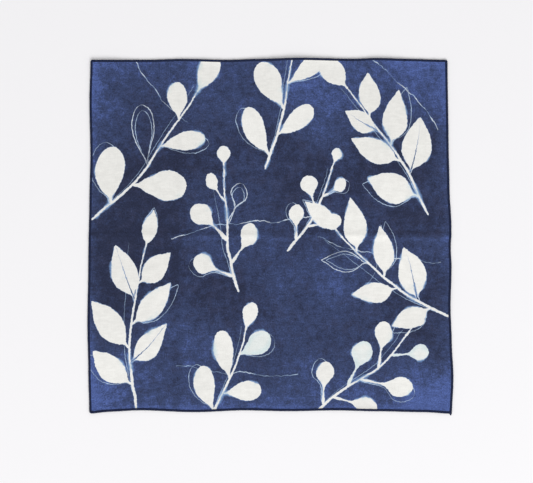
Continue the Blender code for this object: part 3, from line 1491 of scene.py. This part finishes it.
    def lift(self, across: float, up: float, x: float, y: float) -> float:
        """How far the cloth's underside stands off the table.

        Args:
            across: The place across the flat cloth.
            up: The place up the flat cloth.
            x: The point's X on the table.
            y: The point's Y on the table.

        Returns:
            The height, never under the table.
        """
        width, length = self.guide.span
        inward = min(across, width - across, up, length - up)
        along = across if inward in (up, length - up) else up
        by_hem = exp(-max(inward - self.hem_width, 0.0) / self.pucker_fade)
        height = self.guide.lift(x, y) + sum(crease.at(x, y) for crease in self.creases)
        height += self.billow.at(x, y)
        height += self.pucker.at(along, inward, by_hem)
        height += self.crumple.at(x, y)
        return max(0.0, height)

    def section(self, ring: int, inward: float) -> tuple[float, float]:
        """Lower and upper height of the sheet over its lift, at a grid ring from the edge.

        Args:
            ring: Which line of the grid it is, counted from the edge.
            inward: How far in from the edge that line lies.

        Returns:
            The two heights.
        """
        if ring < len(self.roll):
            return self.roll[ring][1:]
        raised = exp(-(inward - self.hem_width) / self.settle)
        under = self.roll[-1][1] * raised
        return under, under + self.thickness

    def build(self) -> bpy.types.Object:
        """Makes the sheet as one closed mesh, with its flat places as its map.

        Returns:
            The finished piece.
        """
        columns, rows = (self.lines(extent) for extent in self.guide.span)
        last_column, last_row = len(columns) - 1, len(rows) - 1
        # A grid one unit wide, whose points then move to where their column and row say.
        sheet = bmesh.new()
        bmesh.ops.create_grid(sheet, x_segments=last_column, y_segments=last_row, size=0.5)
        lower = set(sheet.verts)
        grown = bmesh.ops.extrude_face_region(sheet, geom=sheet.faces[:])["geom"]
        upper_faces = {item for item in grown if isinstance(item, bmesh.types.BMFace)}
        flat = {}
        shapes = {}
        for vert in sheet.verts:
            column = round((vert.co.x + 0.5) * last_column)
            row = round((vert.co.y + 0.5) * last_row)
            if (column, row) not in shapes:
                across, up = columns[column], rows[row]
                ring = min(column, row, last_column - column, last_row - row)
                inward = min(across, columns[-1] - across, up, rows[-1] - up)
                x, y = self.plan_point(across, up)
                shapes[column, row] = x, y, self.lift(across, up, x, y), self.section(ring, inward)
            x, y, lift, (under, over) = shapes[column, row]
            flat[vert] = (columns[column], rows[row])
            vert.co = (x, y, lift + (under if vert in lower else over))
        bmesh.ops.recalc_face_normals(sheet, faces=sheet.faces[:])
        self.lay_maps(sheet, flat, upper_faces)
        mesh = bpy.data.meshes.new("napkin_cloth")
        sheet.to_mesh(mesh)
        sheet.free()
        mesh.shade_smooth()
        self.piece = bpy.data.objects.new("napkin_cloth", mesh)
        bpy.context.scene.collection.objects.link(self.piece)
        return self.piece

    def lay_maps(self, sheet: bmesh.types.BMesh, flat: dict[bmesh.types.BMVert, tuple],
                 upper_faces: set[bmesh.types.BMFace]) -> None:
        """Gives the sheet its two maps and its two sides their material slots.

        Args:
            sheet: The closed sheet.
            flat: Each point's place on the flat cloth.
            upper_faces: The faces of its printed side.
        """
        place_layer = sheet.loops.layers.uv.new(CLOTH_MAP)
        bake_layer = sheet.loops.layers.uv.new(BAKE_MAP)
        width, length = self.guide.span
        left, right = self.bake_across
        for face in sheet.faces:
            is_face = face in upper_faces
            face.material_index = 0 if is_face else 1
            low, high = self.bake_face if is_face else self.bake_reverse
            for loop in face.loops:
                across, up = flat[loop.vert]
                loop[place_layer].uv = (across, up)
                loop[bake_layer].uv = (left + (right - left) * across / width,
                                       low + (high - low) * up / length)

    def dress(self) -> None:
        """Gives the sheet the finishes of its printed face and of its paler reverse."""
        design, weave = BotanicalPrint().group(), PlainWeave().group()
        face = PrintedCotton()
        reverse = replace(face, name="printed_cotton_reverse", white=shade(206, 211, 216),
                          deep=shade(60, 69, 97), middle=shade(72, 82, 112),
                          bright=shade(86, 99, 138), show=0.82)
        for finish in (face, reverse):
            self.piece.data.materials.append(finish.material(design, weave, self.guide.span))


@dataclass
class HemStitching:
    """The overlock thread wound around the rolled hem, with its short tail at one corner.

    Attributes:
        cloth: The cloth that it is sewn on.
        pitch: Spacing of its turns along the hem.
        slack: How far the thread's middle lies outside the roll.
        thread_width: Width of the flattened thread.
        thread_height: Thickness of the flattened thread.
        sides: Sides of the thread's own section.
        steps: Pieces in one turn.
        route_step: Spacing of the points that the turns follow.
        route_near: How many points either way give a turn its direction.
        sway: How far a turn may lean from square, in radians.
        breadths: How wide a turn may be, as shares of the roll's width.
        heights: How high a turn may be, as shares of the roll's height.
        tail: Length of the tail.
        tail_pitch: Spacing of its turns, as a share of the pitch.
        tail_turn: Its direction where it starts, in degrees from +X.
        tail_swing: Degrees that it swings by to its end.
        tail_taper: How much smaller its last turn is.
        seed: Picks the small differences between turns.
        piece: The finished piece, once it is built.
    """

    cloth: Cloth
    pitch: float = 0.00118
    slack: float = 0.00004
    thread_width: float = 0.00105
    thread_height: float = 0.00036
    sides: int = 6
    steps: int = 8
    route_step: float = 0.0004
    route_near: int = 4
    sway: float = 0.06
    breadths: tuple[float, float] = (0.95, 1.06)
    heights: tuple[float, float] = (0.96, 1.04)
    tail: float = 0.0038
    tail_pitch: float = 0.25
    tail_turn: float = -92.0
    tail_swing: float = 6.0
    tail_taper: float = 0.88
    seed: int = 4
    piece: bpy.types.Object = field(init=False)

    def turn(self) -> bpy.types.Mesh:
        """One turn of thread around the roll, along +X with its middle at the origin.

        Returns:
            The turn's mesh.
        """
        radius = self.cloth.hem_width / 2 + self.slack
        one = bmesh.new()
        ring = bmesh.ops.create_circle(one, segments=self.sides, radius=0.5,
                                       cap_ends=True)["verts"]
        bmesh.ops.scale(one, verts=ring, vec=(self.thread_width, self.thread_height, 1.0))
        bmesh.ops.rotate(one, verts=ring, matrix=Matrix.Rotation(pi, 3, "X"))
        bmesh.ops.translate(one, verts=ring, vec=(-self.pitch / 2, radius, 0.0))
        bmesh.ops.spin(
            one, geom=one.verts[:] + one.edges[:] + one.faces[:], cent=(0.0, 0.0, 0.0),
            axis=(1.0, 0.0, 0.0), dvec=(self.pitch / self.steps, 0.0, 0.0), angle=2 * pi,
            steps=self.steps, space=Matrix.Identity(4), use_merge=False,
        )
        flatter = (self.cloth.hem_height / 2 + self.slack) / radius
        bmesh.ops.scale(one, verts=one.verts[:], vec=(1.0, 1.0, flatter))
        bmesh.ops.recalc_face_normals(one, faces=one.faces[:])
        mesh = bpy.data.meshes.new("thread_turn")
        one.to_mesh(mesh)
        one.free()
        return mesh

    def route(self) -> list[Vector]:
        """Points along the middle of the roll, once around from the lower right corner.

        Returns:
            The points, a route step apart.
        """
        width, length = self.cloth.guide.span
        inset = self.cloth.hem_width / 2
        corners = [(width - inset, inset), (width - inset, length - inset),
                   (inset, length - inset), (inset, inset)]
        points = []
        for (across, up), (next_across, next_up) in zip(corners, corners[1:] + corners[:1]):
            count = round(hypot(next_across - across, next_up - up) / self.route_step)
            for number in range(count):
                share = number / count
                place = (across + (next_across - across) * share, up + (next_up - up) * share)
                x, y = self.cloth.plan_point(*place)
                points.append(Vector((x, y, self.cloth.lift(*place, x, y))))
        return points

    def turns(self) -> Iterator[Matrix]:
        """Where each turn of thread sits, around the hem and then out along the tail.

        Yields:
            The place, direction and size of one turn.
        """
        chance = Random(self.seed)
        points = self.route()
        middle = self.cloth.thread + self.cloth.hem_height / 2
        walked = 0.0
        wanted = 0.0
        for number, point in enumerate(points):
            before = points[number - self.route_near]
            after = points[(number + self.route_near) % len(points)]
            heading = atan2(after.y - before.y, after.x - before.x)
            if walked >= wanted:
                wanted += self.pitch
                sway = chance.uniform(-self.sway, self.sway)
                place = Matrix.Translation((point.x, point.y, point.z + middle))
                size = Matrix.Diagonal((1.0, chance.uniform(*self.breadths),
                                        chance.uniform(*self.heights), 1.0))
                yield place @ Matrix.Rotation(heading + sway, 4, "Z") @ size
            walked += (points[(number + 1) % len(points)] - point).length
        yield from self.tail_turns(points[0], middle)

    def tail_turns(self, start: Vector, middle: float) -> Iterator[Matrix]:
        """Where each turn of the tail sits, closer together and smaller towards its end.

        Args:
            start: Where the tail leaves the hem.
            middle: Height of the roll's middle over the table.

        Yields:
            The place, direction and size of one turn.
        """
        count = round(self.tail / (self.pitch * self.tail_pitch))
        for number in range(count):
            share = number / (count - 1)
            reach = self.tail * share * (2.0 - share)
            heading = radians(self.tail_turn + self.tail_swing * share)
            size = 1.0 - self.tail_taper * share
            offset = Vector((cos(heading), sin(heading), 0.0)) * reach
            place = Matrix.Translation((start.x + offset.x, start.y + offset.y, middle * size))
            yield place @ Matrix.Rotation(heading, 4, "Z") @ Matrix.Scale(size, 4)

    def build(self) -> bpy.types.Object:
        """Makes all turns as one joined mesh.

        Returns:
            The finished piece.
        """
        turn = self.turn()
        thread = bmesh.new()
        for matrix in self.turns():
            known = len(thread.verts)
            thread.from_mesh(turn)
            thread.verts.ensure_lookup_table()
            bmesh.ops.transform(thread, matrix=matrix, verts=thread.verts[known:])
        mesh = bpy.data.meshes.new("hem_thread")
        thread.to_mesh(mesh)
        thread.free()
        bpy.data.meshes.remove(turn)
        mesh.shade_smooth()
        self.piece = bpy.data.objects.new("hem_thread", mesh)
        bpy.context.scene.collection.objects.link(self.piece)
        return self.piece

    def dress(self) -> None:
        """Gives the thread its navy finish."""
        self.piece.data.materials.append(OverlockThread().material())


@dataclass(frozen=True)
class Studio:
    """The pale table, the soft light and the camera above the napkin.

    Attributes:
        lens: Focal length of the camera in millimetres.
        sensor: Width of its sensor in millimetres.
        view_width: Width of the table that the camera sees.
        aim: Where on the table it looks.
        table_reach: Half the width of the table.
        table_drop: How far under the napkin the table lies.
        table_shade: The table's colour.
        table_roughness: How matt it is.
        table_gloss: How strongly it shines.
        glow: Strength of the even glow from all around.
        lamp_size: Width and height of the soft light.
        lamp_power: Its power in watts.
        lamp_place: Where it stands, facing the napkin.
    """

    lens: float = 85.0
    sensor: float = 36.0
    view_width: float = 0.672
    aim: tuple[float, float] = (-0.0050, -0.0072)
    table_reach: float = 14.0
    table_drop: float = 0.00003
    table_shade: Colour = shade(246, 245, 247)
    table_roughness: float = 0.9
    table_gloss: float = 0.1
    glow: float = 0.66
    lamp_size: tuple[float, float] = (5.0, 3.0)
    lamp_power: float = 232.0
    lamp_place: tuple[float, float, float] = (1.3, -4.6, 3.5)

    def table(self) -> bpy.types.Object:
        """A plain pale surface just under the napkin.

        Returns:
            The table top.
        """
        plane = bmesh.new()
        bmesh.ops.create_grid(plane, x_segments=1, y_segments=1, size=self.table_reach)
        bmesh.ops.translate(plane, verts=plane.verts[:], vec=(0.0, 0.0, -self.table_drop))
        mesh = bpy.data.meshes.new("table_top")
        plane.to_mesh(mesh)
        plane.free()
        top = bpy.data.objects.new("table_top", mesh)
        bpy.context.scene.collection.objects.link(top)
        finish = bpy.data.materials.new("pale_table")
        finish.use_nodes = True
        surface = finish.node_tree.nodes["Principled BSDF"]
        surface.inputs["Base Color"].default_value = self.table_shade
        surface.inputs["Roughness"].default_value = self.table_roughness
        surface.inputs["Specular IOR Level"].default_value = self.table_gloss
        mesh.materials.append(finish)
        return top

    def lights(self) -> None:
        """A wide soft light from the napkin's lower side over an even glow from all around."""
        world = bpy.data.worlds.new("studio")
        world.use_nodes = True
        glow = world.node_tree.nodes["Background"]
        glow.inputs["Color"].default_value = (1.0, 1.0, 1.0, 1.0)
        glow.inputs["Strength"].default_value = self.glow
        bpy.context.scene.world = world
        lamp = bpy.data.lights.new("window", "AREA")
        lamp.shape = "RECTANGLE"
        lamp.size, lamp.size_y = self.lamp_size
        lamp.energy = self.lamp_power
        window = bpy.data.objects.new("window", lamp)
        window.location = self.lamp_place
        aim = Vector((0.0, 0.0, 0.0)) - window.location
        window.rotation_euler = aim.to_track_quat("-Z", "Y").to_euler()
        bpy.context.scene.collection.objects.link(window)

    def camera(self) -> None:
        """The camera, straight above."""
        lens = bpy.data.cameras.new("overhead")
        lens.lens, lens.sensor_width = self.lens, self.sensor
        camera = bpy.data.objects.new("overhead", lens)
        camera.location = (*self.aim, self.view_width * self.lens / self.sensor)
        bpy.context.scene.collection.objects.link(camera)
        bpy.context.scene.camera = camera

    def build(self) -> bpy.types.Object:
        """Sets up the light and the camera.

        Returns:
            The table top.
        """
        bpy.context.scene.view_settings.view_transform = "Standard"
        self.lights()
        self.camera()
        return self.table()


def report(piece: bpy.types.Object) -> None:
    """Logs a finished piece's name and how many faces it has."""
    log.info("%s: %d faces", piece.name, len(piece.data.polygons))


def main() -> None:
    """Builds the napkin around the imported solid, and the studio around the napkin."""
    logging.basicConfig(level=logging.INFO, format="%(name)s %(message)s")
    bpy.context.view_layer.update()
    cloth = Cloth(SolidGuide(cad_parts[CLOTH_NODE]))
    stitching = HemStitching(cloth)
    for part in (cloth, stitching):
        piece = part.build()
        part.dress()
        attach(piece, BODY)
        report(piece)
    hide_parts(CLOTH_NODE)
    cloth.guide.span
    Studio().build()


if __name__ == "__main__":
    main()
